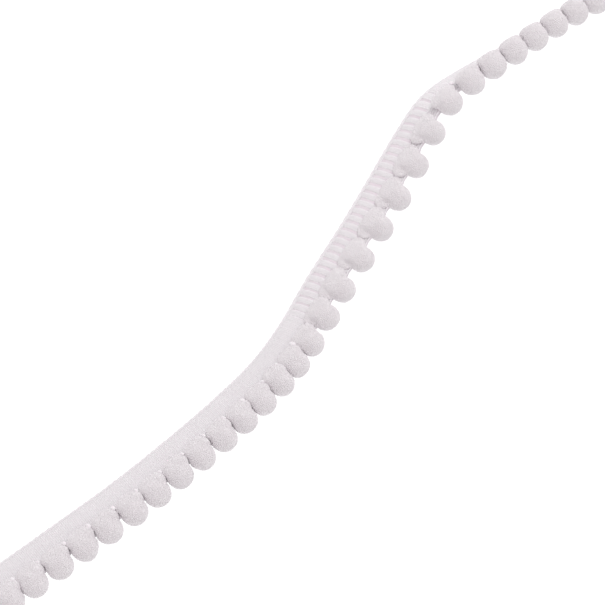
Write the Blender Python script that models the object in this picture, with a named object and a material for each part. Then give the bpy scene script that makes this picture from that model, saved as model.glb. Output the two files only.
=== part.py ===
"""Pompom fringe trim: a narrow heading tape with a row of small yarn pompoms along one edge.

The trim lies in a loose S on the surface Z = 0.  The row of pompom centres is the line that
everything follows.  Towards -X the pompoms rest on the surface and the tape leans up to them
from its far edge; towards +X the trim has twisted up, so that it stands on the edge of its
tape with the pompoms on top.  The tape is pulled out in the middle, where the pompoms stand
apart, and relaxed towards both ends, where they nearly touch.  Each pompom is slit where the
edge of the tape goes into it.
"""

import math
from collections import namedtuple

import bmesh
import bpy
from mathutils import Matrix, Vector

MM = 0.001

# Driving dimensions, in millimetres.
POMPOM_RADIUS = 3.1
POMPOM_REACH = 3.3
TAPE_WIDTH = 8.1
TAPE_THICKNESS = 1.0
TAPE_EDGE_TO_CENTRE = 0.9
POMPOM_GAP = 0.3
SLIT_GAP = 0.35

# How the soft pieces give, in millimetres.
TAPE_CROWN = 0.3
DENSE_BAND = 2.9
FOOT_DEPTH = 0.12
FLAT_SPOT_REACH = 0.12
UNEVENNESS = 0.07

# How finely the pieces are divided.
POMPOM_SEGMENTS = 14
POMPOM_RINGS = 8
ROW_STEP = 0.25
TAPE_STEP = 2.6
CROWN_POINTS = 4

TAPE_REACH = TAPE_WIDTH + TAPE_EDGE_TO_CENTRE
HALF_TAPE = TAPE_THICKNESS / 2
UP = Vector((0, 0, 1))

# The row of pompom centres, seen from above: where it runs, how high the centres are above the
# surface, the distance from one pompom to the next, all in millimetres, and how large the
# pompoms are, as a share of the nominal size.
Station = namedtuple("Station", "x y height pitch size")
STATIONS = (
    Station(-99.5, -2.7, 2.80, 6.00, 1.00),
    Station(-88.0, -4.7, 2.80, 6.10, 1.00),
    Station(-74.0, -6.8, 2.80, 6.30, 1.00),
    Station(-60.0, -8.8, 2.80, 6.30, 1.00),
    Station(-46.0, -10.1, 2.80, 6.10, 1.00),
    Station(-32.0, -10.9, 2.80, 5.90, 1.00),
    Station(-18.0, -10.8, 2.80, 5.60, 1.00),
    Station(-6.0, -8.8, 2.80, 6.80, 1.00),
    Station(7.0, -5.1, 2.80, 8.50, 1.00),
    Station(22.0, -1.4, 2.80, 8.70, 1.00),
    Station(36.0, 2.5, 2.80, 8.90, 1.00),
    Station(48.0, 6.3, 4.00, 8.60, 1.00),
    Station(57.1, 8.8, 5.40, 7.20, 1.02),
    Station(66.1, 8.4, 6.60, 6.40, 1.06),
    Station(79.3, 6.2, 7.60, 6.00, 1.08),
    Station(92.3, 3.8, 7.85, 5.80, 1.08),
    Station(105.8, 0.5, 7.85, 5.80, 1.08),
)

# A point of the row: its place, the direction the row runs in, the pitch and the pompoms' size
# there, and the distance along the row.
RowPoint = namedtuple("RowPoint", "centre along pitch size distance")


def catmull_rom(before, start, end, after, share):
    """Return the value a share of the way from start to end, on a smooth curve."""
    slope_in = (end - before) / 2
    slope_out = (after - start) / 2
    square, cube = share ** 2, share ** 3
    return ((2 * cube - 3 * square + 1) * start + (cube - 2 * square + share) * slope_in
            + (3 * square - 2 * cube) * end + (cube - square) * slope_out)


def station_value(index, share):
    """Return the station that lies a share of the way from one station to the next."""
    last = len(STATIONS) - 1
    near = [STATIONS[min(max(index + step, 0), last)] for step in (-1, 0, 1, 2)]
    return Station(*(catmull_rom(*column, share) for column in zip(*near)))


def trace_row():
    """Return the points of the pompom row, a small step apart, from end to end."""
    values = []
    for index in range(len(STATIONS) - 1):
        start, end = STATIONS[index], STATIONS[index + 1]
        steps = math.ceil(math.hypot(end.x - start.x, end.y - start.y) / ROW_STEP)
        values += [station_value(index, step / steps) for step in range(steps)]
    values.append(STATIONS[-1])
    places = [Vector((value.x, value.y, value.height)) for value in values]
    row, distance = [], 0.0
    for index, (value, place) in enumerate(zip(values, places)):
        before, after = places[max(index - 1, 0)], places[min(index + 1, len(places) - 1)]
        along = Vector((after.x - before.x, after.y - before.y, 0)).normalized()
        if index:
            distance += (place - before).length
        row.append(RowPoint(place, along, value.pitch, value.size, distance))
    return row


def row_point_at(row, distance):
    """Return the point of the row that is nearest to a distance along it."""
    return min(row, key=lambda point: abs(point.distance - distance))


def pompom_points(row):
    """Return one point of the row for each pompom, each a pitch beyond the last."""
    points, distance = [], row[0].pitch / 2
    while distance < row[-1].distance - row[-1].pitch / 2 + ROW_STEP:
        points.append(row_point_at(row, distance))
        distance += points[-1].pitch
    return points


def tape_points(row):
    """Return the points of the row at which the tape has a cross-section."""
    length = row[-1].distance
    count = round(length / TAPE_STEP)
    return [row_point_at(row, length * index / count) for index in range(count + 1)]


def tape_lean(point):
    """Return the angle at which the tape rises from its far edge to the pompoms."""
    return math.asin((point.centre.z - HALF_TAPE) / TAPE_REACH)


def tape_directions(point):
    """Return the tape's directions at a point: from far edge to pompoms, and out of its top."""
    lean = tape_lean(point)
    far_side = Vector((-point.along.y, point.along.x, 0))
    inward = UP * math.sin(lean) - far_side * math.cos(lean)
    upward = UP * math.cos(lean) + far_side * math.sin(lean)
    return inward, upward


def tape_section(point):
    """Return the corners of the tape's cross-section, flat where its foot meets the surface."""
    lean = tape_lean(point)
    inward, upward = tape_directions(point)
    foot = point.centre - inward * TAPE_REACH
    foot.z = HALF_TAPE * math.cos(lean) - FOOT_DEPTH
    crowned_width = TAPE_WIDTH - DENSE_BAND

    def corner(across, offset):
        crown = TAPE_CROWN * math.sin(math.pi * min(across / crowned_width, 1)) ** 2
        return foot + inward * across + upward * (offset + crown)

    steps = [crowned_width * step / CROWN_POINTS for step in range(CROWN_POINTS + 1)]
    steps.append(TAPE_WIDTH)
    top = [corner(across, HALF_TAPE) for across in steps]
    bottom = [corner(across, -HALF_TAPE) for across in reversed(steps[1:])]
    heel = foot + inward * (FOOT_DEPTH / math.sin(lean)) - upward * HALF_TAPE
    toe = foot - upward * (HALF_TAPE - FOOT_DEPTH / math.cos(lean))
    heel.z = toe.z = 0.0
    return top + bottom + [heel, toe]


def slit_section(point):
    """Return the corners of the room that the tape's inner edge needs inside a pompom."""
    inward, upward = tape_directions(point)
    near = point.centre - inward * (TAPE_EDGE_TO_CENTRE - SLIT_GAP)
    far = point.centre - inward * 2 * POMPOM_REACH
    lift = upward * (HALF_TAPE + SLIT_GAP)
    return [far + lift, near + lift, near - lift, far - lift]


def solid_through(sections):
    """Return a working mesh that runs through the sections, closed at both ends."""
    work = bmesh.new()
    rings = [[work.verts.new(corner) for corner in section] for section in sections]
    for near, far in zip(rings, rings[1:]):
        for index, corner in enumerate(near):
            after = (index + 1) % len(near)
            work.faces.new((corner, near[after], far[after], far[index]))
    work.faces.new(rings[0])
    work.faces.new(rings[-1])
    return work


def finished_object(name, work, material):
    """Turn a working mesh in millimetres into an object of triangles that face outwards."""
    bmesh.ops.triangulate(work, faces=work.faces)
    bmesh.ops.recalc_face_normals(work, faces=work.faces)
    bmesh.ops.scale(work, vec=(MM, MM, MM), verts=work.verts)
    mesh = bpy.data.meshes.new(name)
    work.to_mesh(mesh)
    work.free()
    mesh.shade_smooth()
    mesh.set_sharp_from_angle(angle=math.radians(50))
    mesh.materials.append(material)
    item = bpy.data.objects.new(name, mesh)
    bpy.context.scene.collection.objects.link(item)
    return item


def slit_cutter(row, material):
    """Make the hidden band that cuts the slits, along the tape's inner edge."""
    sections = [slit_section(point) for point in tape_points(row)]
    cutter = finished_object("slit_cutter", solid_through(sections), material)
    cutter.hide_render = True
    cutter.display_type = "WIRE"
    return cutter


def bulge(direction, number):
    """Return how far a pompom's yarn stands proud or sinks in a direction."""
    turn = 2.4 * number
    waves = (math.sin(3.1 * direction.x + turn) + math.sin(2.7 * direction.y - 1.7 * turn)
             + math.cos(3.4 * direction.z + 0.9 * turn))
    return UNEVENNESS * (waves / 3 - 1)


def pompom(number, point, cutter, material):
    """Make one pompom: an uneven ball, slit for the tape and flat where it rests."""
    half_length = min(POMPOM_RADIUS * point.size, (point.pitch - POMPOM_GAP) / 2)
    across = Vector((-point.along.y, point.along.x, 0))
    work = bmesh.new()
    bmesh.ops.create_uvsphere(
        work, u_segments=POMPOM_SEGMENTS, v_segments=POMPOM_RINGS, radius=1)
    for vert in work.verts:
        direction = vert.co.copy()
        proud = bulge(direction, number)
        place = point.centre + across * direction.y * (POMPOM_REACH * point.size + proud)
        place += point.along * direction.x * (half_length + proud)
        place.z += direction.z * (POMPOM_RADIUS * point.size + proud)
        if place.z < FLAT_SPOT_REACH:
            place.z = 0.0
        vert.co = place
    item = finished_object(f"pompom_{number:02d}", work, material)
    slit = item.modifiers.new("slit for the tape", "BOOLEAN")
    slit.object = cutter
    slit.operation = "DIFFERENCE"


def yarn_material(name, colour, roughness):
    """Return a plain material of one colour for a textile piece."""
    material = bpy.data.materials.new(name)
    material.use_nodes = True
    shader = material.node_tree.nodes["Principled BSDF"]
    shader.inputs["Base Color"].default_value = (*colour, 1.0)
    shader.inputs["Roughness"].default_value = roughness
    shader.inputs["Metallic"].default_value = 0.0
    return material


def centre_on_origin():
    """Move every mesh so that the origin is under the middle of the trim, on the surface."""
    meshes = [item.data for item in bpy.data.objects]
    places = [vert.co for item in bpy.data.objects if not item.hide_render
              for vert in item.data.vertices]
    lows = [min(place[axis] for place in places) for axis in (0, 1)]
    highs = [max(place[axis] for place in places) for axis in (0, 1)]
    middle = Vector(((lows[0] + highs[0]) / 2, (lows[1] + highs[1]) / 2, 0))
    for mesh in meshes:
        mesh.transform(Matrix.Translation(-middle))


def main():
    """Clear the scene and make the trim."""
    for item in list(bpy.data.objects):
        bpy.data.objects.remove(item)
    row = trace_row()
    tape_knit = yarn_material("knitted heading tape", (0.86, 0.82, 0.86), 0.85)
    pompom_yarn = yarn_material("cut pompom yarn", (0.88, 0.85, 0.88), 0.92)
    sections = [tape_section(point) for point in tape_points(row)]
    finished_object("heading_tape", solid_through(sections), tape_knit)
    cutter = slit_cutter(row, pompom_yarn)
    for number, point in enumerate(pompom_points(row), start=1):
        pompom(number, point, cutter, pompom_yarn)
    centre_on_origin()


main()
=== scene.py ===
"""Looks of a pompom fringe trim: knitted heading tape, cut yarn pompoms, and a plain studio.

Everything follows one line, the row of pompom centres, whose stations are those of the solids.
The tape is laid out on that line as a twisted band, and every yarn of its knit is routed on the
band by its distance along the row and its distance across the tape.
"""

import logging
import math
import random
from dataclasses import dataclass
from enum import Enum
from typing import Any, NamedTuple, Sequence

import bmesh
import bpy
import numpy as np
from bpy.types import Material, Mesh, Node, NodeSocket, NodeTree, Object
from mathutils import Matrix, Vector, noise


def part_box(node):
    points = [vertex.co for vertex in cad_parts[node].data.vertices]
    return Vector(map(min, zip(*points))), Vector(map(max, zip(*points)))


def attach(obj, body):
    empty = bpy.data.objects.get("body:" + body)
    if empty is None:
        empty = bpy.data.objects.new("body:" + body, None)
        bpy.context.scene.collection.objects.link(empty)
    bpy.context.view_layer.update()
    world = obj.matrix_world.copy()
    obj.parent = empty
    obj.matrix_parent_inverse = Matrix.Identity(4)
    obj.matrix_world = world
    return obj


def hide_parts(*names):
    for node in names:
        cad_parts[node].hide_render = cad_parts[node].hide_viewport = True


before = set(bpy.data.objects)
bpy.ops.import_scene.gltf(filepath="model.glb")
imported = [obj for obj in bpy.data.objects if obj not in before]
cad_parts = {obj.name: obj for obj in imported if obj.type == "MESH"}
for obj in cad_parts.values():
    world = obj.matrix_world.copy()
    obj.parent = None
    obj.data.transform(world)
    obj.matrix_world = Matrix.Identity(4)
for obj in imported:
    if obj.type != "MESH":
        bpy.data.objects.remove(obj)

MM = 0.001
ROOT = "root"
TAPE_NODE = "heading_tape"
ROUNDING = 1e-6

log = logging.getLogger("trim")

Array = np.ndarray


class Station(NamedTuple):
    """A station of the pompom row, in millimetres, with the pompoms' size as a share."""

    x: float
    y: float
    height: float
    pitch: float
    size: float


STATIONS = (
    Station(-99.5, -2.7, 2.80, 6.00, 1.00),
    Station(-88.0, -4.7, 2.80, 6.10, 1.00),
    Station(-74.0, -6.8, 2.80, 6.30, 1.00),
    Station(-60.0, -8.8, 2.80, 6.30, 1.00),
    Station(-46.0, -10.1, 2.80, 6.10, 1.00),
    Station(-32.0, -10.9, 2.80, 5.90, 1.00),
    Station(-18.0, -10.8, 2.80, 5.60, 1.00),
    Station(-6.0, -8.8, 2.80, 6.80, 1.00),
    Station(7.0, -5.1, 2.80, 8.50, 1.00),
    Station(22.0, -1.4, 2.80, 8.70, 1.00),
    Station(36.0, 2.5, 2.80, 8.90, 1.00),
    Station(48.0, 6.3, 4.00, 8.60, 1.00),
    Station(57.1, 8.8, 5.40, 7.20, 1.02),
    Station(66.1, 8.4, 6.60, 6.40, 1.06),
    Station(79.3, 6.2, 7.60, 6.00, 1.08),
    Station(92.3, 3.8, 7.85, 5.80, 1.08),
    Station(105.8, 0.5, 7.85, 5.80, 1.08),
)


class Face(Enum):
    """The side of the tape that a yarn lies on, as the sign of its lift."""

    TOP = 1
    BACK = -1


# Small helpers -----------------------------------------------


def linear(colour: str) -> tuple[float, float, float, float]:
    """Turn an sRGB hex colour into linear values.

    Args:
        colour: Six hex digits, with or without a leading hash.

    Returns:
        Red, green, blue and an alpha of one.
    """
    toe_end, toe_slope, offset, power = 0.04045, 12.92, 0.055, 2.4
    digits = colour.lstrip("#")
    shares = [int(digits[start:start + 2], 16) / 255 for start in (0, 2, 4)]
    red, green, blue = (
        share / toe_slope if share <= toe_end else ((share + offset) / (1 + offset)) ** power
        for share in shares
    )
    return red, green, blue, 1.0


def add_node(tree: NodeTree, kind: str, settings: dict[str, Any] | None = None,
             inputs: dict[str | int, Any] | None = None) -> Node:
    """Add a node, set its properties, and fill or link its inputs.

    Args:
        tree: The node tree that takes the node.
        kind: The node's type name.
        settings: Property names and values.
        inputs: Input names or numbers, each with a value or an output socket to link.

    Returns:
        The new node.
    """
    node = tree.nodes.new(kind)
    for name, value in (settings or {}).items():
        setattr(node, name, value)
    for key, value in (inputs or {}).items():
        if isinstance(value, NodeSocket):
            tree.links.new(value, node.inputs[key])
        else:
            node.inputs[key].default_value = value
    return node


def link_object(name: str, mesh: Mesh) -> Object:
    """Put a mesh in the scene as an object at the origin.

    Args:
        name: The object's name.
        mesh: The object's mesh.

    Returns:
        The new object.
    """
    piece = bpy.data.objects.new(name, mesh)
    bpy.context.scene.collection.objects.link(piece)
    return piece


def unit(vectors: Array) -> Array:
    """Return an array of vectors, each with a length of one."""
    return vectors / np.linalg.norm(vectors, axis=-1, keepdims=True)


def smooth_step(values: Array) -> Array:
    """Return values from 0 to 1 eased at both ends, held outside that range."""
    held = np.clip(values, 0.0, 1.0)
    return held * held * (3 - 2 * held)


def grown_piece(name: str, mesh: Mesh, tree: NodeTree, values: dict[str, Any]) -> Object:
    """Run a mesh through a Geometry Nodes tree and return the result as a plain object.

    Args:
        name: The finished object's name.
        mesh: The mesh that the tree starts from, which is removed at the end.
        tree: The Geometry Nodes tree.
        values: The tree's inputs by their names in the interface.

    Returns:
        The finished object, with no modifier left on it.
    """
    seed_object = link_object(name + "_seed", mesh)
    modifier = seed_object.modifiers.new("grow", "NODES")
    modifier.node_group = tree
    for socket in tree.interface.items_tree:
        if socket.item_type == "SOCKET" and socket.in_out == "INPUT" and socket.name in values:
            modifier[socket.identifier] = values[socket.name]
    evaluated = seed_object.evaluated_get(bpy.context.evaluated_depsgraph_get())
    finished = bpy.data.meshes.new_from_object(evaluated)
    finished.name = name
    bpy.data.objects.remove(seed_object)
    bpy.data.meshes.remove(mesh)
    return link_object(name, finished)


def settle(piece: Object) -> Object:
    """Flatten whatever of a piece would reach below the surface that the trim lies on.

    Args:
        piece: The piece, whose mesh is changed.

    Returns:
        The same piece.
    """
    count = len(piece.data.vertices)
    points = np.empty(count * 3, dtype=np.float32)
    piece.data.vertices.foreach_get("co", points)
    points.reshape(-1, 3)[:, 2] = np.maximum(points.reshape(-1, 3)[:, 2], 0.0)
    piece.data.vertices.foreach_set("co", points)
    piece.data.update()
    return piece


def report(piece: Object) -> None:
    """Log a piece's name and how many triangles it has."""
    triangles = sum(len(face.vertices) - 2 for face in piece.data.polygons)
    log.info("%s: %d triangles", piece.name, triangles)


# The row that everything follows -----------------------------


@dataclass
class Band:
    """Points of the row and the tape's directions there, one line of each array for each point.

    Directions run along the row, level towards the far side, from the tape's far edge in to the
    pompoms, and out of the tape's top.  The lean is the tape's angle to the surface in radians.
    """

    centre: Array
    along: Array
    far_side: Array
    inward: Array
    upward: Array
    lean: Array


@dataclass
class PompomRow:
    """The row of pompom centres with the tape beside it.

    Lengths are in metres.  Distances run along the row from its low-X end; counts are pompoms,
    so that count 3 is the middle of the third pompom and 3.5 is half-way to the fourth.  The
    crown is how far the outer part of the tape arches, and the foot is its far edge, which
    rests on the surface.
    """

    tape_width: float = 8.1 * MM
    tape_thickness: float = 1.0 * MM
    edge_to_centre: float = 0.9 * MM
    crown: float = 0.3 * MM
    dense_band: float = 2.9 * MM
    foot_depth: float = 0.12 * MM
    relaxed_pitch: float = 6.5 * MM
    stretched_pitch: float = 8.0 * MM
    step: float = 0.25 * MM

    def __post_init__(self) -> None:
        """Trace the row, find the pompoms on it, and move it to where the solids lie."""
        self.trace()
        self.count_pompoms()
        self.meet_the_solids()

    @property
    def reach(self) -> float:
        """Distance from a pompom's centre to the tape's far edge."""
        return self.tape_width + self.edge_to_centre

    @property
    def slotted_width(self) -> float:
        """Width of the slotted part of the tape, from the far edge to the dense band."""
        return self.tape_width - self.dense_band

    @property
    def length(self) -> float:
        """Length of the tape along the row."""
        return float(self.distances[-1])

    def trace(self) -> None:
        """Work out closely spaced points of the row from its stations."""
        last = len(STATIONS) - 1
        table = np.array(STATIONS) * np.array([MM, MM, MM, MM, 1.0])
        values = []
        for index in range(last):
            near = [table[min(max(index + offset, 0), last)] for offset in (-1, 0, 1, 2)]
            span = np.linalg.norm(near[2][:2] - near[1][:2])
            steps = math.ceil(span / self.step - ROUNDING)
            share = (np.arange(steps) / steps)[:, None]
            slope_in, slope_out = (near[2] - near[0]) / 2, (near[3] - near[1]) / 2
            values.append(
                (2 * share ** 3 - 3 * share ** 2 + 1) * near[1]
                + (share ** 3 - 2 * share ** 2 + share) * slope_in
                + (3 * share ** 2 - 2 * share ** 3) * near[2]
                + (share ** 3 - share ** 2) * slope_out
            )
        self.values = np.vstack([*values, table[-1:]])
        jumps = np.linalg.norm(np.diff(self.values[:, :3], axis=0), axis=1)
        self.distances = np.concatenate([[0.0], np.cumsum(jumps)])
        self.directions = np.gradient(self.values[:, :2], self.distances, axis=0)

    def count_pompoms(self) -> None:
        """Find each pompom's distance along the row, each a pitch beyond the last."""
        found, distance = [], self.values[0, 3] / 2
        while distance < self.length - self.values[-1, 3] / 2 + self.step:
            nearest = int(np.argmin(np.abs(self.distances - distance)))
            found.append(self.distances[nearest])
            distance = distance + self.values[nearest, 3]
        self.pompoms = np.array(found)

    def meet_the_solids(self) -> None:
        """Shift the row so that its pompoms lie where the pompom solids lie."""
        shifts = []
        for number, distance in enumerate(self.pompoms, start=1):
            low, high = (np.array(corner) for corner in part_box(f"pompom_{number:02d}"))
            shifts.append((low + high)[:2] / 2 - self.value_at(distance)[:2])
        self.origin = np.mean(shifts, axis=0)
        self.values[:, :2] += self.origin

    def value_at(self, distance: float) -> Array:
        """Return x, y, height, pitch and size at a distance along the row."""
        return np.array([np.interp(distance, self.distances, column)
                         for column in self.values.T])

    def distance_of(self, count: Array | float) -> Array:
        """Turn counts of pompoms into distances along the row.

        Args:
            count: Counts of pompoms, which need not be whole.

        Returns:
            The distances, held to the tape's two ends.
        """
        counts = [self.first_count, *range(1, len(self.pompoms) + 1), self.last_count]
        return np.interp(count, counts, [0.0, *self.pompoms, self.length])

    @property
    def first_count(self) -> float:
        """Count at the tape's low-X end."""
        return 1 - self.pompoms[0] / self.values[0, 3]

    @property
    def last_count(self) -> float:
        """Count at the tape's other end."""
        return len(self.pompoms) + (self.length - self.pompoms[-1]) / self.values[-1, 3]

    def band_at(self, distance: Array | float) -> Band:
        """Work out where the row is and how the tape lies there.

        Args:
            distance: Distances along the row.

        Returns:
            The points and directions at those distances.
        """
        distance = np.atleast_1d(np.asarray(distance, dtype=float))
        centre = np.stack([np.interp(distance, self.distances, self.values[:, axis])
                           for axis in range(3)], axis=-1)
        along = np.stack([np.interp(distance, self.distances, self.directions[:, axis])
                          for axis in range(2)] + [np.zeros_like(distance)], axis=-1)
        along = unit(along)
        far_side = np.stack([-along[:, 1], along[:, 0], np.zeros_like(distance)], axis=-1)
        lean = np.arcsin((centre[:, 2] - self.tape_thickness / 2) / self.reach)
        rise, run = np.sin(lean)[:, None], np.cos(lean)[:, None]
        vertical = np.array([0.0, 0.0, 1.0])
        inward = vertical * rise - far_side * run
        upward = vertical * run + far_side * rise
        return Band(centre, along, far_side, inward, upward, lean)

    def place(self, distance: Array, across: Array, lift: Array) -> Array:
        """Return points on or above the tape's middle surface.

        Args:
            distance: Distances along the row.
            across: Distances from the tape's far edge towards the pompoms.
            lift: Heights above the middle surface, towards the tape's top.

        Returns:
            An array of points, one for each distance.
        """
        distance, across, lift = np.broadcast_arrays(
            *(np.asarray(value, dtype=float) for value in (distance, across, lift)))
        shape = distance.shape
        band = self.band_at(distance.ravel())
        foot = band.centre - band.inward * self.reach
        foot[:, 2] = self.tape_thickness / 2 * np.cos(band.lean) - self.foot_depth
        share = np.clip(across.ravel() / self.slotted_width, 0.0, 1.0)
        crown = self.crown * np.sin(math.pi * share) ** 2
        height = (lift.ravel() + crown)[:, None]
        points = foot + band.inward * across.ravel()[:, None] + band.upward * height
        return points.reshape(*shape, 3)

    def pitch_at(self, distance: Array | float) -> Array:
        """Return the distance from one pompom to the next at distances along the row."""
        return np.interp(distance, self.distances, self.values[:, 3])

    def stretch_at(self, distance: Array | float) -> Array:
        """Return how far the tape is pulled out, from 0 for relaxed to 1."""
        span = self.stretched_pitch - self.relaxed_pitch
        return smooth_step((self.pitch_at(distance) - self.relaxed_pitch) / span)


# Finishes ----------------------------------------------------


@dataclass(frozen=True)
class SpunYarn:
    """Bleached spun yarn: matt, softly translucent, its fibres standing off the surface.

    The light side of a hank of such yarn is a cool white, and what light reaches its folds has
    gone through other fibres and comes out a little pink.  fibre_size is drawn coarser than the
    0.02 mm of a real fibre, because that would not show.
    """

    name: str
    light: str
    shade: str
    roughness: float = 0.95
    specular: float = 0.25
    sheen: float = 0.15
    sheen_roughness: float = 0.6
    mottle_size: float = 2.5 * MM
    mottle_detail: float = 3.0
    fibre_size: float = 0.16 * MM
    fibre_detail: float = 2.0
    bump_depth: float = 0.015 * MM
    bump_strength: float = 0.18
    translucency: float = 0.2
    light_depth: float = 1.0 * MM
    light_depth_by_colour: tuple[float, float, float] = (1.0, 0.8, 0.9)

    def build(self) -> Material:
        """Return the material of this yarn."""
        material = bpy.data.materials.new(self.name)
        material.use_nodes = True
        tree = material.node_tree
        shader = tree.nodes["Principled BSDF"]
        place = add_node(tree, "ShaderNodeTexCoord")
        mottle = add_node(tree, "ShaderNodeTexNoise", None, {
            "Vector": place.outputs["Object"], "Scale": 1 / self.mottle_size,
            "Detail": self.mottle_detail})
        blend = add_node(tree, "ShaderNodeMix", {"data_type": "RGBA"}, {
            "Factor": mottle.outputs["Fac"], "A": linear(self.shade), "B": linear(self.light)})
        colour = next(out for out in blend.outputs if out.type == "RGBA")
        tree.links.new(colour, shader.inputs["Base Color"])
        fibres = add_node(tree, "ShaderNodeTexNoise", None, {
            "Vector": place.outputs["Object"], "Scale": 1 / self.fibre_size,
            "Detail": self.fibre_detail})
        bump = add_node(tree, "ShaderNodeBump", None, {
            "Height": fibres.outputs["Fac"], "Distance": self.bump_depth,
            "Strength": self.bump_strength})
        tree.links.new(bump.outputs["Normal"], shader.inputs["Normal"])
        for socket, value in (("Roughness", self.roughness),
                              ("Specular IOR Level", self.specular),
                              ("Sheen Weight", self.sheen),
                              ("Sheen Roughness", self.sheen_roughness),
                              ("Subsurface Weight", self.translucency),
                              ("Subsurface Radius", self.light_depth_by_colour),
                              ("Subsurface Scale", self.light_depth)):
            shader.inputs[socket].default_value = value
        return material


# Cut acrylic pile: its fibres' ends face outwards and scatter light, so it looks soft and even.
POMPOM_PILE = SpunYarn("acrylic_cut_pile", light="#F0EDEF", shade="#EBE7EA")
# Knitted polyester: its fibres lie along the yarn, so the relief is finer and the sheen less.
TAPE_YARN = SpunYarn("polyester_knitting_yarn", light="#EEECEE", shade="#EAE7EA",
                     sheen=0.1, bump_depth=0.01 * MM)
# The same knit at the bottom of its slots, with painted shade: its colour is made darker to
# stand for the shade there, where less light gets in.
TAPE_GROUND_PAINTED_SHADE = SpunYarn("polyester_knit_ground_painted_shade", light="#DFD9DD", shade="#D9D3D8",
                       sheen=0.05, fibre_size=0.3 * MM, bump_depth=0.02 * MM)


# Geometry Nodes trees ----------------------------------------


def new_tree(name: str, sockets: Sequence[tuple[str, str]]) -> NodeTree:
    """Make an empty Geometry Nodes tree with a geometry in and out and named inputs.

    Args:
        name: The tree's name.
        sockets: The name and the socket type of each further input.

    Returns:
        The new tree.
    """
    tree = bpy.data.node_groups.new(name, "GeometryNodeTree")
    tree.interface.new_socket("Geometry", in_out="INPUT", socket_type="NodeSocketGeometry")
    for label, kind in sockets:
        tree.interface.new_socket(label, in_out="INPUT", socket_type=kind)
    tree.interface.new_socket("Geometry", in_out="OUTPUT", socket_type="NodeSocketGeometry")
    return tree


def finish_tree(tree: NodeTree, geometry: NodeSocket, material: NodeSocket) -> None:
    """End a tree: smooth shading, real meshes in place of instances, and the material.

    Args:
        tree: The tree to end.
        geometry: The output that gives the finished geometry.
        material: The output that gives its material.
    """
    real = add_node(tree, "GeometryNodeRealizeInstances", None, {"Geometry": geometry})
    smooth = add_node(tree, "GeometryNodeSetShadeSmooth", None,
                      {"Geometry": real.outputs["Geometry"]})
    dressed = add_node(tree, "GeometryNodeSetMaterial", None,
                       {"Geometry": smooth.outputs["Geometry"], "Material": material})
    add_node(tree, "NodeGroupOutput", None, {"Geometry": dressed.outputs["Geometry"]})


def yarn_tree() -> NodeTree:
    """Make the tree that turns routes, which are chains of edges, into round yarns.

    Returns:
        The tree.  It reads the yarn's radius from each point's thickness attribute.
    """
    tree = new_tree("yarns_on_routes", [
        ("Sides", "NodeSocketInt"), ("Material", "NodeSocketMaterial")])
    given = add_node(tree, "NodeGroupInput").outputs
    routes = add_node(tree, "GeometryNodeMeshToCurve", None, {"Mesh": given["Geometry"]})
    thickness = add_node(tree, "GeometryNodeInputNamedAttribute", {"data_type": "FLOAT"},
                         {"Name": "thickness"})
    outline = add_node(tree, "GeometryNodeCurvePrimitiveCircle", None,
                       {"Resolution": given["Sides"], "Radius": 1.0})
    yarns = add_node(tree, "GeometryNodeCurveToMesh", None, {
        "Curve": routes.outputs["Curve"], "Profile Curve": outline.outputs["Curve"],
        "Scale": thickness.outputs["Attribute"], "Fill Caps": True})
    finish_tree(tree, yarns.outputs["Mesh"], given["Material"])
    return tree


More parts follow.
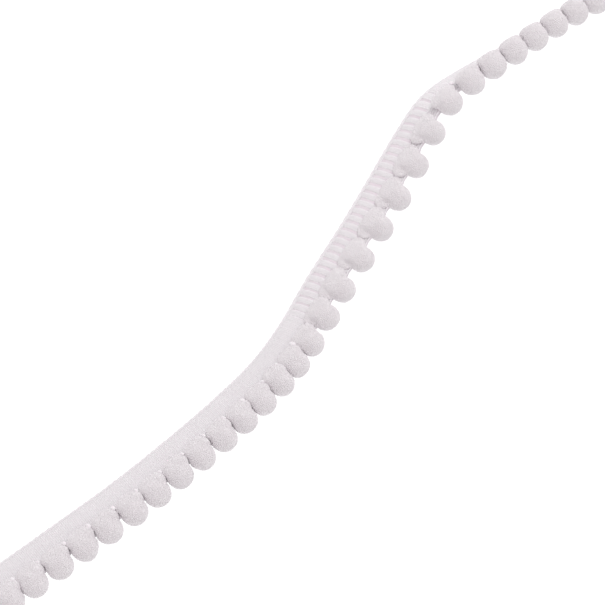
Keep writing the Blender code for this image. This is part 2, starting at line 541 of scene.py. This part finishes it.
def pile_tree() -> NodeTree:
    """Make the tree that covers a core with the rounded ends of cut yarn and loose fibres.

    Returns:
        The tree.  The ends are balls sunk into the core by the tip depth, so that only their
        caps show.
    """
    tip_sizes, fibre_sizes, fibre_lean = (0.78, 1.22), (0.5, 1.3), 0.9
    sizes = ("Tip Spacing", "Tip Density", "Tip Radius", "Tip Length", "Tip Depth", "Tip Tilt",
             "Fibre Density", "Fibre Length", "Fibre Root Radius", "Fibre Tip Radius")
    tree = new_tree("cut_pile", [
        *((label, "NodeSocketFloat") for label in sizes),
        ("Seed", "NodeSocketInt"), ("Material", "NodeSocketMaterial")])
    given = add_node(tree, "NodeGroupInput").outputs

    spots = add_node(tree, "GeometryNodeDistributePointsOnFaces",
                     {"distribute_method": "POISSON"}, {
                         "Mesh": given["Geometry"], "Seed": given["Seed"],
                         "Distance Min": given["Tip Spacing"],
                         "Density Max": given["Tip Density"]})
    grain = add_node(tree, "GeometryNodeMeshIcoSphere", None,
                     {"Radius": 1.0, "Subdivisions": 1})
    grain_size = add_node(tree, "ShaderNodeCombineXYZ", None, {
        "X": given["Tip Radius"], "Y": given["Tip Radius"], "Z": given["Tip Length"]})
    down = add_node(tree, "ShaderNodeMath", {"operation": "MULTIPLY"},
                    {0: given["Tip Depth"], 1: -1.0})
    root = add_node(tree, "ShaderNodeCombineXYZ", None, {"Z": down.outputs[0]})
    tip = add_node(tree, "GeometryNodeTransform", None, {
        "Geometry": grain.outputs["Mesh"], "Scale": grain_size.outputs["Vector"],
        "Translation": root.outputs["Vector"]})
    high = add_node(tree, "ShaderNodeCombineXYZ", None, {
        "X": given["Tip Tilt"], "Y": given["Tip Tilt"], "Z": math.pi})
    low = add_node(tree, "ShaderNodeVectorMath", {"operation": "SCALE"},
                   {0: high.outputs["Vector"], "Scale": -1.0})
    turn = add_node(tree, "FunctionNodeRandomValue", {"data_type": "FLOAT_VECTOR"}, {
        0: low.outputs["Vector"], 1: high.outputs["Vector"], "Seed": given["Seed"]})
    euler = add_node(tree, "FunctionNodeEulerToRotation", None, {"Euler": turn.outputs[0]})
    tilted = add_node(tree, "FunctionNodeRotateRotation", {"rotation_space": "LOCAL"}, {
        "Rotation": spots.outputs["Rotation"], "Rotate By": euler.outputs["Rotation"]})
    grown = add_node(tree, "FunctionNodeRandomValue", {"data_type": "FLOAT"}, {
        2: tip_sizes[0], 3: tip_sizes[1], "Seed": given["Seed"]})
    tips = add_node(tree, "GeometryNodeInstanceOnPoints", None, {
        "Points": spots.outputs["Points"], "Instance": tip.outputs["Geometry"],
        "Rotation": tilted.outputs["Rotation"], "Scale": grown.outputs[1]})

    roots = add_node(tree, "GeometryNodeDistributePointsOnFaces", None, {
        "Mesh": given["Geometry"], "Density": given["Fibre Density"], "Seed": given["Seed"]})
    hair = add_node(tree, "GeometryNodeMeshCone", {"fill_type": "NONE"}, {
        "Vertices": 3, "Side Segments": 1, "Radius Top": given["Fibre Tip Radius"],
        "Radius Bottom": given["Fibre Root Radius"], "Depth": given["Fibre Length"]})
    fibre_tilt = add_node(tree, "FunctionNodeRandomValue", {"data_type": "FLOAT_VECTOR"}, {
        0: (-fibre_lean, -fibre_lean, -math.pi), 1: (fibre_lean, fibre_lean, math.pi),
        "Seed": given["Seed"]})
    fibre_euler = add_node(tree, "FunctionNodeEulerToRotation", None,
                           {"Euler": fibre_tilt.outputs[0]})
    fibre_turn = add_node(tree, "FunctionNodeRotateRotation", {"rotation_space": "LOCAL"}, {
        "Rotation": roots.outputs["Rotation"], "Rotate By": fibre_euler.outputs["Rotation"]})
    fibre_size = add_node(tree, "FunctionNodeRandomValue", {"data_type": "FLOAT"}, {
        2: fibre_sizes[0], 3: fibre_sizes[1], "Seed": given["Seed"]})
    fibres = add_node(tree, "GeometryNodeInstanceOnPoints", None, {
        "Points": roots.outputs["Points"], "Instance": hair.outputs["Mesh"],
        "Rotation": fibre_turn.outputs["Rotation"], "Scale": fibre_size.outputs[1]})

    joined = add_node(tree, "GeometryNodeJoinGeometry")
    for part in (given["Geometry"], tips.outputs["Instances"], fibres.outputs["Instances"]):
        tree.links.new(part, joined.inputs[0])
    finish_tree(tree, joined.outputs["Geometry"], given["Material"])
    return tree


# The heading tape --------------------------------------------


class Routes:
    """Routes of many yarns, gathered into one mesh of edges with a thickness at each point."""

    def __init__(self) -> None:
        """Start with no routes."""
        self.points: list[Array] = []
        self.sizes: list[Array] = []
        self.edges: list[tuple[int, int]] = []
        self.total = 0

    def add(self, points: Array, radius: Array | float) -> None:
        """Add one yarn's route.

        Args:
            points: The points that the yarn follows.
            radius: The yarn's radius, or its radius at each point.
        """
        count = len(points)
        self.points.append(points)
        self.sizes.append(np.broadcast_to(np.asarray(radius, dtype=float), (count,)))
        self.edges += [(self.total + index, self.total + index + 1)
                       for index in range(count - 1)]
        self.total += count

    def mesh(self, name: str) -> Mesh:
        """Return the mesh of edges that holds every route."""
        mesh = bpy.data.meshes.new(name)
        mesh.from_pydata(np.vstack(self.points).tolist(), self.edges, [])
        sizes = mesh.attributes.new("thickness", "FLOAT", "POINT")
        sizes.data.foreach_set("value", np.concatenate(self.sizes).astype(np.float32))
        return mesh


@dataclass
class HeadingTape:
    """The knitted heading tape.

    Wefts lie across its outer part in bundles, four to a pompom, and are locked by a chain of
    loops down the far edge and by close chains down the dense band beside the pompoms.  Where
    the tape is pulled out, the bundles stand apart and slots open between them.  Lengths are
    in metres, a half is half a thickness, and bows, skews, wavers and strays are how far a yarn
    is bent, slanted or set off its even place.
    """

    row: PompomRow
    tree: NodeTree
    yarn: Material
    ground_half: float = 0.2 * MM
    ground_inset: float = 0.12 * MM
    ground_step: float = 0.4 * MM
    ground_columns: int = 18
    rim_width: float = 0.5 * MM
    rim_share: float = 0.35
    dense_half: float = 0.42 * MM
    dense_ease: float = 0.8 * MM
    bundles_per_pompom: int = 4
    yarns_per_bundle: int = 4
    weft_radius: float = 0.38 * MM
    weft_spacing: float = 0.25 * MM
    weft_points: int = 8
    weft_inset: float = 0.15 * MM
    weft_overlap: float = 0.25 * MM
    weft_arch: float = 0.1 * MM
    weft_waver: float = 0.01 * MM
    weft_end: float = 0.1 * MM
    count_margin: float = 0.06
    bundle_crown: float = 0.05 * MM
    bundle_bow: float = 0.16
    bow_waver: float = 0.02
    skew: float = 0.08
    skew_wave: float = 0.1
    skew_bundles: float = 9
    skew_reach: float = 2 * MM
    selvedge_radius: float = 0.42 * MM
    chain_radius: float = 0.17 * MM
    chain_width: float = 0.34 * MM
    chain_sink: float = 0.05 * MM
    edge_chain_at: float = 0.42 * MM
    edge_chain_up: float = 0.3 * MM
    dense_chains: int = 4
    loop_points: int = 9
    loop_swing: float = 0.86
    loop_taper: float = 0.12
    loop_bluntness: float = 0.75
    loop_overlap: float = 0.08
    loop_dip: float = 0.3
    shortest_loop: float = 0.5 * MM
    nub_radius: float = 0.5 * MM
    nub_half_length: float = 0.6 * MM
    nub_inset: float = 1.9 * MM
    nub_lift: float = 1.65 * MM
    nub_sinking: float = 0.7
    nub_shrinking: float = 0.4
    nub_least: float = 0.75
    nub_most: float = 1.25
    nub_stray: float = 0.3 * MM
    nub_slant: float = 0.15 * MM
    nub_points: int = 7
    nub_roundness: float = 0.97
    weft_sides: int = 8
    chain_sides: int = 5
    seed: int = 11

    def build_ground(self) -> Object:
        """Make the thin ground of the knit, thicker in the dense band, closed all round.

        Returns:
            The piece, without its material.
        """
        row = self.row
        steps = round(row.length / self.ground_step)
        distance = np.linspace(0.0, row.length, steps + 1)[:, None]
        inset = self.ground_inset
        shares = np.linspace(0.0, 1.0, self.ground_columns + 1)[None, :]
        across = inset + (row.tape_width - inset) * shares
        band_share = smooth_step((across - row.slotted_width) / self.dense_ease + 0.5)
        half = self.ground_half + (self.dense_half - self.ground_half) * band_share
        edge = np.minimum(across - inset, row.tape_width - across)
        inner_share = smooth_step(edge / self.rim_width)
        half = half * (self.rim_share + (1 - self.rim_share) * inner_share)
        top = row.place(distance, across, half)
        back = row.place(distance, across, -half)
        back[..., 2] = np.maximum(back[..., 2], 0.0)
        mesh = self.closed_sheet("heading_tape_ground", top, back)
        return link_object("heading_tape_ground", mesh)

    @staticmethod
    def closed_sheet(name: str, top: Array, back: Array) -> Mesh:
        """Make a closed mesh between two grids of points.

        Args:
            name: The mesh's name.
            top: Points of the upper face, by distance and then across.
            back: Points of the lower face, in the same order.

        Returns:
            The mesh, its faces pointing outwards.
        """
        rows, columns = top.shape[:2]
        numbers = np.arange(rows * columns).reshape(rows, columns)
        below = rows * columns
        near, far = numbers[:-1, :-1], numbers[1:, 1:]
        quads = [np.stack([near, numbers[:-1, 1:], far, numbers[1:, :-1]], axis=-1),
                 np.stack([near, numbers[1:, :-1], far, numbers[:-1, 1:]], axis=-1)
                 + below]
        faces = [quad for block in quads for quad in block.reshape(-1, 4).tolist()]
        loop = np.concatenate([numbers[:, 0], numbers[-1, 1:], numbers[-2::-1, -1],
                               numbers[0, -2:0:-1]])
        after = np.roll(loop, -1)
        faces += np.stack([loop, after, after + below, loop + below], axis=-1).tolist()
        mesh = bpy.data.meshes.new(name)
        points = np.concatenate([top.reshape(-1, 3), back.reshape(-1, 3)])
        mesh.from_pydata(points.tolist(), [], faces)
        work = bmesh.new()
        work.from_mesh(mesh)
        bmesh.ops.recalc_face_normals(work, faces=work.faces)
        work.to_mesh(mesh)
        work.free()
        mesh.shade_smooth()
        return mesh

    def spun(self, name: str, routes: Routes, sides: int) -> Object:
        """Turn routes into a piece made of round yarns.

        Args:
            name: The piece's name.
            routes: The routes that the yarns follow.
            sides: How many sides each yarn has.

        Returns:
            The piece.
        """
        values = {"Sides": sides, "Material": self.yarn}
        return settle(grown_piece(name, routes.mesh(name + "_routes"), self.tree, values))

    def build_wefts(self) -> Object:
        """Make the weft bundles across the outer part of the tape, and the selvedge cord.

        Returns:
            The piece.
        """
        row, chance, routes = self.row, random.Random(self.seed), Routes()
        start = self.edge_chain_at + self.weft_inset
        end = row.slotted_width + self.weft_overlap
        shares = np.linspace(0.0, 1.0, self.weft_points)
        arch = np.sin(math.pi * shares)
        first = math.ceil((row.first_count + self.count_margin) * self.bundles_per_pompom)
        last = math.floor((row.last_count - self.count_margin) * self.bundles_per_pompom)
        for bundle in range(first, last + 1):
            middle = row.distance_of(bundle / self.bundles_per_pompom)
            spacing, pulled = self.spacing_at(middle), float(row.stretch_at(middle))
            skew = chance.uniform(-self.skew, self.skew) \
                + self.skew_wave * math.sin(bundle / self.skew_bundles)
            for yarn in range(self.yarns_per_bundle):
                side = yarn - (self.yarns_per_bundle - 1) / 2
                bow = 1 + self.bundle_bow * pulled * arch \
                    + chance.uniform(-self.bow_waver, self.bow_waver)
                distance = middle + side * spacing * bow \
                    + skew * (shares - 0.5) * self.skew_reach
                distance = np.clip(distance, self.weft_end, row.length - self.weft_end)
                across = start + (end - start) * shares
                lift = self.weft_arch * arch \
                    + chance.uniform(-self.weft_waver, self.weft_waver)
                lift = lift - self.bundle_crown * abs(side) * pulled
                routes.add(row.place(distance, across, lift), self.weft_radius)
        steps = round(row.length / self.ground_step)
        routes.add(row.place(np.linspace(0.0, row.length, steps + 1),
                             self.edge_chain_at, 0.0), self.selvedge_radius)
        return self.spun("tape_wefts", routes, self.weft_sides)

    def spacing_at(self, distance: float) -> float:
        """Work out how far apart the yarns of a bundle are, which draw in on stretching.

        Args:
            distance: The bundle's distance along the row.

        Returns:
            The distance from one yarn's middle to the next.
        """
        yarns = self.bundles_per_pompom * self.yarns_per_bundle
        even = float(self.row.pitch_at(distance)) / yarns
        return even + (self.weft_spacing - even) * float(self.row.stretch_at(distance))

    def chain_loop(self, start: float, end: float, across: float, width: float,
                   height: float, face: Face) -> Array:
        """Work out the route of one horseshoe loop of a chain.

        Args:
            start: The distance along the row at which the loop leaves the last one.
            end: The distance at which its head lies.
            across: Where the chain runs, from the tape's far edge.
            width: Half the loop's width.
            height: How far the loop's crown lies above the tape's middle surface.
            face: The side of the tape that the loop shows on.

        Returns:
            The points that the loop's yarn follows.
        """
        turns = np.linspace(-1.0, 1.0, self.loop_points)
        sideways = width * np.sin(turns * math.pi * self.loop_swing) \
            * (1 - self.loop_taper * turns ** 2)
        forward = np.cos(turns * math.pi * 0.5) ** self.loop_bluntness
        reach = forward * (1 + 2 * self.loop_overlap) - self.loop_overlap
        distance = start + (end - start) * reach
        dip = np.cos(turns * math.pi)
        lift = face.value * (height - self.chain_sink
                             - self.loop_dip * self.chain_radius * (dip ** 2))
        return self.row.place(np.clip(distance, 0.0, self.row.length),
                              across + sideways, lift)

    def build_chains(self) -> Object:
        """Make the chains of loops down the far edge and down the dense band.

        Returns:
            The piece.
        """
        row, routes = self.row, Routes()
        spread = (row.dense_band - 2 * self.chain_width) / (self.dense_chains - 1)
        dense = [row.slotted_width + self.chain_width + spread * index
                 for index in range(self.dense_chains)]
        lines = [(self.edge_chain_at, self.edge_chain_up)]
        lines += [(across, self.dense_half) for across in dense]
        per_pompom = self.bundles_per_pompom
        first = math.ceil(row.first_count * per_pompom)
        last = math.floor(row.last_count * per_pompom)
        for number, (across, height) in enumerate(lines):
            shift = 0.5 * (number % 2)
            for loop in range(first, last):
                start = row.distance_of((loop + shift) / per_pompom)
                end = row.distance_of((loop + 1 + shift) / per_pompom)
                if end - start < self.shortest_loop:
                    continue
                for face in Face:
                    routes.add(self.chain_loop(start, end, across, self.chain_width,
                                               height, face), self.chain_radius)
        return self.spun("tape_chains", routes, self.chain_sides)

    def build_nubs(self) -> Object:
        """Make the small knots of tie yarn at the tape's edge between the pompoms.

        Returns:
            The piece.
        """
        row, chance, routes = self.row, random.Random(self.seed + 1), Routes()
        turns = np.linspace(-1.0, 1.0, self.nub_points)
        roundness = np.sqrt(np.clip(1 - (turns * self.nub_roundness) ** 2, 0.0, 1.0))
        for number in range(1, len(row.pompoms)):
            middle = row.distance_of(number + 0.5)
            pulled = float(row.stretch_at(middle))
            size = chance.uniform(self.nub_least, self.nub_most) \
                * (1 - self.nub_shrinking * pulled)
            across = row.tape_width - self.nub_inset + self.nub_half_length * size * turns
            distance = middle + chance.uniform(-self.nub_stray, self.nub_stray) \
                + self.nub_slant * turns
            lift = self.nub_lift * (1 - self.nub_sinking * pulled)
            routes.add(row.place(distance, across, lift),
                       self.nub_radius * size * roundness)
        return self.spun("tie_nubs", routes, self.weft_sides)


# The pompoms -------------------------------------------------


class Lobe(NamedTuple):
    """A rounded part of a tuft: its centre, half-axes, and power, 1 for round, less for boxy."""

    centre: Vector
    axes: tuple[Vector, Vector, Vector]
    power: float


@dataclass
class Pompom:
    """One pompom: a tuft of yarn bound to the tape's edge and cut round.

    The tuft lies over the dense band as a flat pad, rises as a shoulder, and swells into the
    ball.  Sizes that end in pulled, relaxed or turned are added where the tape is pulled out,
    relaxed or turned up on its edge.  Lengths are in metres and angles in radians.
    """

    row: PompomRow
    number: int
    radius: float = 3.0 * MM
    reach: float = 3.05 * MM
    overlap: float = 0.2 * MM
    pile_height: float = 0.08 * MM
    shoulder_out: float = 2.0 * MM
    shoulder_up: float = 1.0 * MM
    shoulder_skew: float = 0.5 * MM
    shoulder_length: float = 2.5 * MM
    shoulder_depth: float = 1.3 * MM
    shoulder_width: float = 2.95 * MM
    shoulder_slope: float = 0.42
    pad_out: float = 2.1 * MM
    pad_out_pulled: float = 0.5 * MM
    pad_length: float = 1.6 * MM
    pad_length_pulled: float = 0.6 * MM
    pad_up: float = 0.45 * MM
    pad_up_relaxed: float = 0.5 * MM
    pad_up_turned: float = 1.1 * MM
    pad_depth: float = 0.72 * MM
    pad_depth_turned: float = 0.7 * MM
    pad_width_share: float = 0.51
    turn_start: float = math.radians(20)
    turn_end: float = math.radians(45)
    boxiness: float = 0.75
    lobe_divisions: int = 4
    lumpiness: float = 0.14 * MM
    lump_size: float = 2.4 * MM
    lump_shift: tuple[float, float, float] = (7.3, 1.9, 0.0)
    voxel: float = 0.26 * MM
    smoothing: float = 0.6
    smoothing_rounds: int = 9
    tip_spacing: float = 0.32 * MM
    tip_crowding: float = 3.0
    tip_radius: float = 0.27 * MM
    tip_length: float = 0.15 * MM
    tip_depth: float = 0.075 * MM
    tip_tilt: float = 0.08
    fibre_density: float = 0.6 / MM ** 2
    fibre_length: float = 0.7 * MM
    fibre_root_radius: float = 0.025 * MM
    fibre_tip_radius: float = 0.008 * MM
    seed_step: int = 13

    def __post_init__(self) -> None:
        """Find where the pompom lies, and how the tape is pulled and turned there."""
        distance = self.row.pompoms[self.number - 1]
        value, band = self.row.value_at(distance), self.row.band_at(distance)
        self.pitch, self.size = float(value[3]), float(value[4])
        self.centre = Vector(band.centre[0])
        self.along, self.far_side = Vector(band.along[0]), Vector(band.far_side[0])
        self.outward, self.upward = -Vector(band.inward[0]), Vector(band.upward[0])
        self.pulled = float(self.row.stretch_at(distance))
        turn_share = (band.lean[0] - self.turn_start) / (self.turn_end - self.turn_start)
        self.turned = float(smooth_step(np.array(turn_share)))

    @property
    def name(self) -> str:
        """Name of the pompom's piece, which is not its node's name."""
        return f"yarn_pompom_{self.number:02d}"

    def ball(self) -> Lobe:
        """Work out the ball, pressed narrower where its neighbours are close.

        Returns:
            The ball.
        """
        half_length = min(self.radius * self.size, (self.pitch + self.overlap) / 2)
        axes = (self.along * (half_length - self.pile_height),
                self.far_side * (self.reach * self.size - self.pile_height),
                Vector((0, 0, self.radius * self.size - self.pile_height)))
        return Lobe(self.centre, axes, 1.0)

    def shoulder(self) -> Lobe:
        """Work out the shoulder, which slopes from the ball down to the tape.

        Returns:
            The shoulder.
        """
        down_slope = self.outward * math.cos(self.shoulder_slope) \
            - self.upward * math.sin(self.shoulder_slope)
        lifted = self.upward * math.cos(self.shoulder_slope) \
            + self.outward * math.sin(self.shoulder_slope)
        centre = self.centre + self.outward * self.shoulder_out \
            + self.upward * self.shoulder_up + self.along * self.shoulder_skew
        axes = (self.along * min(self.shoulder_width, self.pitch / 2),
                down_slope * self.shoulder_length, lifted * self.shoulder_depth)
        return Lobe(centre, axes, self.boxiness)

    def pad(self) -> Lobe:
        """Work out the flat pad, which lies over the tape's dense band.

        Returns:
            The pad.
        """
        length = self.pad_length + self.pad_length_pulled * self.pulled
        depth = self.pad_depth + self.pad_depth_turned * self.turned
        out = self.pad_out + self.pad_out_pulled * self.pulled \
            - self.pad_up_turned * self.turned
        up = self.pad_up + self.pad_up_relaxed * (1 - self.pulled) * (1 - self.turned) \
            + self.pad_up_turned * self.turned
        centre = self.centre + self.outward * out + self.upward * up \
            + self.along * self.shoulder_skew / 2
        axes = (self.along * self.pitch * self.pad_width_share, self.outward * length,
                self.upward * depth)
        return Lobe(centre, axes, self.boxiness)

    def core(self) -> Mesh:
        """Make the pompom without its pile: ball, shoulder and pad grown into one.

        Returns:
            The core's mesh.
        """
        offset = Vector([self.number * shift for shift in self.lump_shift])
        work = bmesh.new()
        for centre, axes, power in (self.ball(), self.shoulder(), self.pad()):
            made = bmesh.ops.create_icosphere(work, subdivisions=self.lobe_divisions,
                                              radius=1.0)
            for vert in made["verts"]:
                course = [math.copysign(abs(part) ** power, part)
                          for part in vert.co.normalized()]
                point = centre + sum((axis * part for axis, part in zip(axes, course)),
                                     Vector())
                lump = noise.noise(point / self.lump_size + offset)
                vert.co = point + (point - centre).normalized() * self.lumpiness * lump
        mesh = bpy.data.meshes.new(self.name + "_lobes")
        work.to_mesh(mesh)
        work.free()
        return self.grown_together(mesh)

    def grown_together(self, mesh: Mesh) -> Mesh:
        """Join closed meshes that overlap into a smooth one.

        Args:
            mesh: The mesh that holds them, which is removed.

        Returns:
            One closed mesh.
        """
        parts = link_object(mesh.name, mesh)
        joined = parts.modifiers.new("join", "REMESH")
        joined.mode = "VOXEL"
        joined.voxel_size = self.voxel
        smoothed = parts.modifiers.new("smooth", "SMOOTH")
        smoothed.factor = self.smoothing
        smoothed.iterations = self.smoothing_rounds
        evaluated = parts.evaluated_get(bpy.context.evaluated_depsgraph_get())
        core = bpy.data.meshes.new_from_object(evaluated)
        bpy.data.objects.remove(parts)
        bpy.data.meshes.remove(mesh)
        return core

    def build(self, tree: NodeTree, material: Material) -> Object:
        """Make the pompom.

        Args:
            tree: The tree that covers a core with pile.
            material: The pile's material.

        Returns:
            The piece.
        """
        return settle(grown_piece(self.name, self.core(), tree, {
            "Tip Spacing": self.tip_spacing,
            "Tip Density": self.tip_crowding / self.tip_spacing ** 2,
            "Tip Radius": self.tip_radius, "Tip Length": self.tip_length,
            "Tip Depth": self.tip_depth, "Tip Tilt": self.tip_tilt,
            "Fibre Density": self.fibre_density, "Fibre Length": self.fibre_length,
            "Fibre Root Radius": self.fibre_root_radius,
            "Fibre Tip Radius": self.fibre_tip_radius,
            "Seed": self.number * self.seed_step, "Material": material}))


# Putting the trim together -----------------------------------


@dataclass
class Trim:
    """The whole trim: the tape with its yarns, and the pompoms on it."""

    row: PompomRow

    def build(self) -> None:
        """Make and dress every piece and tell the frame what each one stands for."""
        yarns, pile = yarn_tree(), pile_tree()
        # The ground's finish is darker than the yarns' as painted shade for the bottoms of the
        # slots.
        tape_yarn, ground_knit_painted_shade = TAPE_YARN.build(), TAPE_GROUND_PAINTED_SHADE.build()
        tape = HeadingTape(self.row, yarns, tape_yarn)
        ground = tape.build_ground()
        ground.data.materials.append(ground_knit_painted_shade)
        yarn_pieces = [tape.build_wefts(), tape.build_chains(), tape.build_nubs()]
        pompoms = self.build_pompoms(pile)
        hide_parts(TAPE_NODE)
        for piece in (ground, *yarn_pieces):
            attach(piece, ROOT)
            report(piece)

    def build_pompoms(self, pile: NodeTree) -> list[Object]:
        """Make and dress every pompom.

        Args:
            pile: The tree that covers a core with pile.

        Returns:
            The pompoms' pieces in order.
        """
        material, pieces = POMPOM_PILE.build(), []
        for number in range(1, len(self.row.pompoms) + 1):
            piece = Pompom(self.row, number).build(pile, material)
            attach(piece, ROOT)
            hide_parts(f"pompom_{number:02d}")
            report(piece)
            pieces.append(piece)
        return pieces


# Studio ------------------------------------------------------


@dataclass(frozen=True)
class BacklitFloor:
    """White acrylic sheet lit from below: it gives off light, so soft shadows don't show."""

    name: str = "white_studio_floor"
    colour: str = "#7C7C7C"
    glow_colour: str = "#FFFFFF"
    glow: float = 0.97
    roughness: float = 0.9

    def build(self) -> Material:
        """Return the floor's material."""
        material = bpy.data.materials.new(self.name)
        material.use_nodes = True
        shader = material.node_tree.nodes["Principled BSDF"]
        for socket, value in (("Base Color", linear(self.colour)),
                              ("Roughness", self.roughness),
                              ("Specular IOR Level", 0.0),
                              ("Emission Color", linear(self.glow_colour)),
                              ("Emission Strength", self.glow)):
            shader.inputs[socket].default_value = value
        return material


@dataclass(frozen=True)
class Lamp:
    """A soft square light that faces the trim.

    Its turn and elevation are in degrees, as in Studio.direction, its reach from the trim and
    its side in metres, and its power in watts.
    """

    name: str
    turn: float
    elevation: float
    reach: float
    side: float
    power: float
    colour: str


LAMPS = (
    Lamp("key", turn=160.0, elevation=60.0, reach=0.9, side=0.4, power=2.5, colour="#FFFFFF"),
    Lamp("fill", turn=20.0, elevation=62.0, reach=1.0, side=0.8, power=0.8, colour="#FFF4F8"),
)


@dataclass
class Studio:
    """Camera, floor and lights.  The camera looks down from over the pompoms' side.

    Lengths are in metres and angles in degrees, and the sensor's width is in millimetres.
    """

    aim: Vector
    turn: float = -46.0
    elevation: float = 66.0
    distance: float = 0.42
    view_width: float = 0.1336
    sensor: float = 36.0
    nearest: float = 0.01
    floor_size: float = 3.0
    room_colour: str = "#FFF9FB"
    room_strength: float = 0.775

    def direction(self, turn: float, elevation: float) -> Vector:
        """Work out the direction from the trim to where a thing stands.

        Args:
            turn: Degrees from straight behind the camera, positive to its right.
            elevation: Degrees above the floor.

        Returns:
            The direction, with a length of one.
        """
        heading = math.radians(self.turn - 90 + turn)
        rise = math.radians(elevation)
        return Vector((math.cos(heading) * math.cos(rise), math.sin(heading) * math.cos(rise),
                       math.sin(rise)))

    def build_camera(self) -> None:
        """Make the camera and give it to the scene."""
        data = bpy.data.cameras.new("camera")
        data.lens = self.sensor * self.distance / self.view_width
        data.sensor_width = self.sensor
        data.clip_start = self.nearest
        camera = bpy.data.objects.new("camera", data)
        bpy.context.scene.collection.objects.link(camera)
        away = self.direction(0.0, self.elevation)
        camera.location = self.aim + away * self.distance
        camera.rotation_euler = (-away).to_track_quat("-Z", "Y").to_euler()
        bpy.context.scene.camera = camera

    def build_floor(self) -> None:
        """Make the plain white floor."""
        mesh = bpy.data.meshes.new("floor")
        half = self.floor_size / 2
        mesh.from_pydata([(-half, -half, 0), (half, -half, 0), (half, half, 0),
                          (-half, half, 0)], [], [(0, 1, 2, 3)])
        floor = link_object("floor", mesh)
        mesh.materials.append(BacklitFloor().build())

    def add_light(self, lamp: Lamp) -> None:
        """Put one lamp in the scene.

        Args:
            lamp: The lamp.
        """
        data = bpy.data.lights.new(lamp.name, "AREA")
        data.shape = "SQUARE"
        data.size = lamp.side
        data.energy = lamp.power
        data.color = linear(lamp.colour)[:3]
        light = bpy.data.objects.new(lamp.name, data)
        away = self.direction(lamp.turn, lamp.elevation)
        light.location = away * lamp.reach
        light.rotation_euler = (-away).to_track_quat("-Z", "Y").to_euler()
        bpy.context.scene.collection.objects.link(light)

    def build_lights(self) -> None:
        """Make the soft light from beyond the trim, a weak fill, and the room's own light."""
        for lamp in LAMPS:
            self.add_light(lamp)
        world = bpy.data.worlds.new("room")
        world.use_nodes = True
        background = world.node_tree.nodes["Background"]
        background.inputs["Color"].default_value = linear(self.room_colour)
        background.inputs["Strength"].default_value = self.room_strength
        bpy.context.scene.world = world
        bpy.context.scene.view_settings.view_transform = "Standard"

    def build(self) -> None:
        """Make the camera, the floor and the lights."""
        self.build_camera()
        self.build_floor()
        self.build_lights()


def main() -> None:
    """Build the studio and the trim."""
    logging.basicConfig(level=logging.INFO, format="%(name)s: %(message)s")
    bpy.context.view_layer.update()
    row = PompomRow()
    Studio(aim=Vector((*row.origin, 0.0))).build()
    Trim(row).build()


if __name__ == "__main__":
    main()
